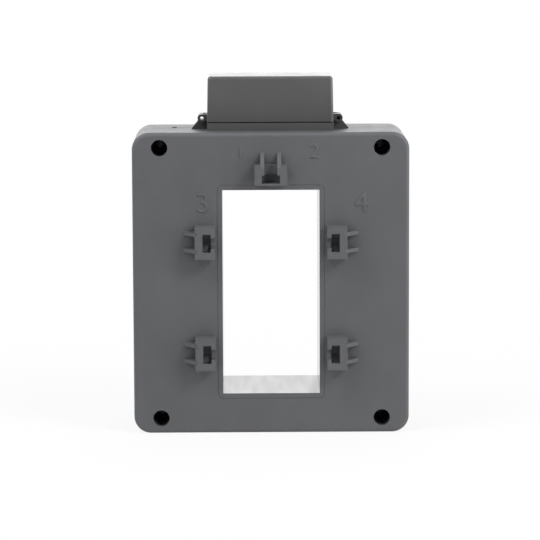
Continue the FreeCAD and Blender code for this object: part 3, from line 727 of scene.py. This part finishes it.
def wall_of_turns(low, high, inset, build):
    """The layers under the outer one: a plain wall round the spool, a little inside the turns."""
    work = bmesh.new()
    recessed = 0.2 * MM  # under the top and bottom turns, and the wall's corner at the spool
    bottom, top = low.z + recessed, high.z - recessed
    rings = []
    for inward, corner, z in ((inset, build - inset, bottom), (inset, build - inset, top),
                              (build, recessed, top), (build, recessed, bottom)):
        x0, y0 = low.x + inward + corner, low.y + inward + corner
        x1, y1 = high.x - inward - corner, high.y - inward - corner
        ring = []
        for cx, cy, start in ((x1, y1, 0), (x0, y1, 90), (x0, y0, 180), (x1, y0, 270)):
            for k in range(6):
                angle = math.radians(start + 18 * k)
                ring.append(work.verts.new((cx + corner * math.cos(angle),
                                            cy + corner * math.sin(angle), z)))
        rings.append(ring)
    for first, second in zip(rings, rings[1:] + rings[:1]):
        for k in range(len(first)):
            n = (k + 1) % len(first)
            work.faces.new((first[k], first[n], second[n], second[k]))
    bmesh.ops.recalc_face_normals(work, faces=work.faces)
    return work


class TRANSFORMER_OT_windings(bpy.types.Operator):
    """Replaces the two plain windings by turns of enamelled wire"""
    bl_idname = "transformer.windings"
    bl_label = "Windings"

    def execute(self, context):
        sizes = context.scene.transformer_windings
        copper = enamelled_copper()
        tree = turns_tree()
        radius = sizes.wire / 2
        for side in SIDES:
            low, high = node_box("winding_" + side)
            inner = as_mesh(wall_of_turns(low, high, radius, sizes.build), "layers")
            mesh = grown_mesh(inner, tree, {
                "Width": high.x - low.x - 2 * radius, "Depth": high.y - low.y - 2 * radius,
                "Corner": sizes.build - radius, "Wire radius": radius, "Pitch": sizes.pitch,
                "Turns": int((high.z - low.z - 2 * radius) / sizes.pitch) + 1,
                "First": ((low.x + high.x) / 2, (low.y + high.y) / 2, low.z + radius),
                "Material": copper})
            add_piece("wire_turns_" + side, mesh, "case", None, ["winding_" + side])
        return {"FINISHED"}


class TRANSFORMER_OT_inner_parts(bpy.types.Operator):
    """Finishes the core, its strap, the spools, the tape and the inner wires"""
    bl_idname = "transformer.inner_parts"
    bl_label = "Inner parts"

    def execute(self, context):
        dress(wound_steel(), "core_upper", "core_lower")
        strap = worked_metal("Blued steel strapping", "#55585e", "#6c7077",
                             roughness=0.36, line=0.5 * MM, stretch=(1, 0.05, 1))
        dress(strap, "core_strap", "strap_seal")
        dress(filled_nylon(), "bobbin_left", "bobbin_right")
        dress(wound_tape(), "winding_wrap_left", "winding_wrap_right")
        dress(extruded_vinyl(), "link_wire", "lead_wire_left", "lead_wire_right")
        return {"FINISHED"}


class TRANSFORMER_OT_terminals(bpy.types.Operator):
    """Finishes the brass plates, the washers and the hinge pin"""
    bl_idname = "transformer.terminals"
    bl_label = "Terminals and pin"

    def execute(self, context):
        brass = worked_metal("Rolled brass terminal plate", "#a68f52", "#c0a968",
                             roughness=0.28, line=0.3 * MM, stretch=(1, 0.05, 0.05))
        plated = worked_metal("Zinc-plated steel washers", "#a9abad", "#c4c6c8",
                              roughness=0.3, line=0.3 * MM)
        pin = worked_metal("Black-oxide steel pin", "#2b2c2e", "#3a3b3d",
                           roughness=0.4, line=0.3 * MM, stretch=(1, 0.05, 1))
        for side in SIDES:
            dress(brass, "terminal_plate_" + side)
            dress(plated, "square_washer_" + side, "spring_washer_" + side)
        dress(pin, "hinge_pin")
        return {"FINISHED"}


class TRANSFORMER_OT_stage(bpy.types.Operator):
    """Adds the pale floor, the soft studio light and the camera"""
    bl_idname = "transformer.stage"
    bl_label = "Stage"

    def execute(self, context):
        look = context.scene.transformer_stage
        scene = context.scene
        scene.view_settings.view_transform = "Standard"
        work = bmesh.new()
        bmesh.ops.create_grid(work, x_segments=1, y_segments=1, size=30.0)
        floor = bpy.data.objects.new("floor", as_mesh(work, "floor"))
        scene.collection.objects.link(floor)
        floor.data.materials.append(self.floor_material(look))
        self.light_world(look)
        aim = Vector((0, 0, 0.1))
        for name, place, width, height, power in (
                ("key", (1.0, -0.9, 1.1), 0.6, 0.6, look.key),
                ("side", (1.6, -0.6, 0.3), 0.7, 0.7, look.side),
                ("top", (-0.8, -0.6, 1.45), 1.0, 1.0, look.top),
                ("left", (-1.5, -0.8, 0.7), 0.9, 0.9, look.left),
                ("back", (0.1, 2.2, 0.75), 3.0, 1.3, look.back)):
            lamp = bpy.data.lights.new(name, "AREA")
            lamp.shape = "RECTANGLE"
            lamp.size, lamp.size_y, lamp.energy = width, height, power
            holder = bpy.data.objects.new(name, lamp)
            holder.location = place
            holder.rotation_euler = (aim - Vector(place)).to_track_quat("-Z", "Y").to_euler()
            scene.collection.objects.link(holder)
        self.add_camera(context, look)
        return {"FINISHED"}

    def ray_kinds(self, tree):
        """1 for rays from the camera, and 1 for those that a mirror or glass sends on."""
        path = add(tree, "ShaderNodeLightPath").outputs
        mirrored = add(tree, "ShaderNodeMath", {0: path["Is Glossy Ray"], 1: path["Is Transmission Ray"]},
                       operation="MAXIMUM").outputs[0]
        return path["Is Camera Ray"], mirrored

    def floor_material(self, look):
        """Seamless white paper. The camera sees it bright, and near the object the shadow stays.
        Reflections see it bright behind the object and dimmer in front, as in the room."""
        material, tree, shader, place = new_material("Matt white paper", IOR=1.45, Roughness=0.9)
        shader.inputs["Base Color"].default_value = linear("#f2f2f2")
        seen, mirrored = self.ray_kinds(tree)
        away = add(tree, "ShaderNodeVectorMath", {0: place}, operation="LENGTH").outputs["Value"]
        glare = add(tree, "ShaderNodeMapRange", {"Value": away, "From Min": 0.1, "From Max": 0.5,
                                                 "To Min": 0.86, "To Max": 1.0}).outputs[0]
        direct = add(tree, "ShaderNodeMath", {0: seen, 1: glare}, operation="MULTIPLY").outputs[0]
        share = add(tree, "ShaderNodeMath", {0: direct, 1: mirrored}, operation="MAXIMUM").outputs[0]
        back = add(tree, "ShaderNodeSeparateXYZ", {0: place}).outputs[1]
        depth = add(tree, "ShaderNodeMapRange", {"Value": back, "From Min": -0.3, "From Max": 0.1,
                                                 "To Min": look.front, "To Max": 1.0}).outputs[0]
        strength = add(tree, "ShaderNodeMath", {0: depth, 1: seen}, operation="MAXIMUM").outputs[0]
        glow = add(tree, "ShaderNodeEmission", {"Color": linear("#ffffff"), "Strength": strength})
        mix = add(tree, "ShaderNodeMixShader", {0: share, 1: shader.outputs[0], 2: glow.outputs[0]})
        tree.links.new(mix.outputs[0], tree.nodes["Material Output"].inputs["Surface"])
        return material

    def light_world(self, look):
        """A white room, at full white where the camera sees it. The side that the camera stands
        on is dimmer, as a studio is, and so are the hollows that open towards it."""
        world = bpy.data.worlds.new("White room")
        bpy.context.scene.world = world
        world.use_nodes = True
        tree = world.node_tree
        tree.nodes.clear()
        seen, mirrored = self.ray_kinds(tree)
        level = add(tree, "ShaderNodeMapRange", {"Value": mirrored, "To Min": look.world,
                                                 "To Max": 1.0}).outputs[0]
        towards = add(tree, "ShaderNodeTexCoord").outputs["Generated"]
        back = add(tree, "ShaderNodeSeparateXYZ", {0: towards}).outputs[1]
        depth = add(tree, "ShaderNodeMapRange", {"Value": back, "From Min": -1.0, "From Max": 0.3,
                                                 "To Min": look.front, "To Max": 1.0}).outputs[0]
        share = add(tree, "ShaderNodeMath", {0: level, 1: depth}, operation="MULTIPLY").outputs[0]
        strength = add(tree, "ShaderNodeMath", {0: share, 1: seen}, operation="MAXIMUM").outputs[0]
        sky = add(tree, "ShaderNodeBackground", {"Color": linear("#ffffff"), "Strength": strength})
        add(tree, "ShaderNodeOutputWorld", {"Surface": sky.outputs[0]})

    def add_camera(self, context, look):
        """The camera, from a least-squares fit to the case's edges in the photograph."""
        place = Vector((-15.42, -1796.85, 336.72)) * MM
        pitch, yaw, roll = 0.13213, -0.00836, 0.003988
        ahead = Vector((-math.sin(yaw) * math.cos(pitch), math.cos(yaw) * math.cos(pitch),
                        -math.sin(pitch)))
        right = Vector((math.cos(yaw), math.sin(yaw), 0))
        up = right.cross(ahead)
        side = right * math.cos(roll) - up * math.sin(roll)
        top = right * math.sin(roll) + up * math.cos(roll)
        lens = bpy.data.cameras.new("camera")
        lens.lens = look.lens
        lens.sensor_width = 36
        lens.clip_end = 100
        camera = bpy.data.objects.new("camera", lens)
        turn = Matrix((side, top, -ahead)).transposed().to_4x4()
        camera.matrix_world = Matrix.Translation(place) @ turn
        context.scene.collection.objects.link(camera)
        context.scene.camera = camera


class TRANSFORMER_PT_panel(bpy.types.Panel):
    """Lists the transformer's pieces and their settings"""
    bl_idname = "TRANSFORMER_PT_panel"
    bl_label = "Current transformer"
    bl_space_type = "VIEW_3D"
    bl_region_type = "UI"
    bl_category = "Transformer"

    def draw(self, context):
        for group, steps in PANEL_ROWS:
            section = self.layout.box()
            settings = getattr(context.scene, group)
            for name in type(settings).__annotations__:
                section.prop(settings, name)
            for step in steps:
                section.operator(step.bl_idname)


PANEL_ROWS = (
    ("transformer_case", (TRANSFORMER_OT_case, TRANSFORMER_OT_terminal_housing)),
    ("transformer_numerals", (TRANSFORMER_OT_numerals,)),
    ("transformer_screws", (TRANSFORMER_OT_case_screws, TRANSFORMER_OT_terminal_screws)),
    ("transformer_windings", (TRANSFORMER_OT_windings, TRANSFORMER_OT_inner_parts,
                              TRANSFORMER_OT_terminals)),
    ("transformer_stage", (TRANSFORMER_OT_stage,)),
)
GROUPS = {"transformer_case": CaseLook, "transformer_numerals": NumeralSizes,
          "transformer_screws": ScrewSizes, "transformer_windings": WindingSizes,
          "transformer_stage": StageLook}
STEPS = tuple(step for _, steps in PANEL_ROWS for step in steps)


def register():
    for kind in tuple(GROUPS.values()) + STEPS + (TRANSFORMER_PT_panel,):
        bpy.utils.register_class(kind)
    for name, kind in GROUPS.items():
        setattr(bpy.types.Scene, name, PointerProperty(type=kind))


def unregister():
    for name in GROUPS:
        delattr(bpy.types.Scene, name)
    for kind in (TRANSFORMER_PT_panel,) + STEPS[::-1] + tuple(GROUPS.values()):
        bpy.utils.unregister_class(kind)


def main():
    register()
    for step in STEPS:
        getattr(bpy.ops.transformer, step.bl_idname.split(".")[1])()


if __name__ == "__main__":
    main()
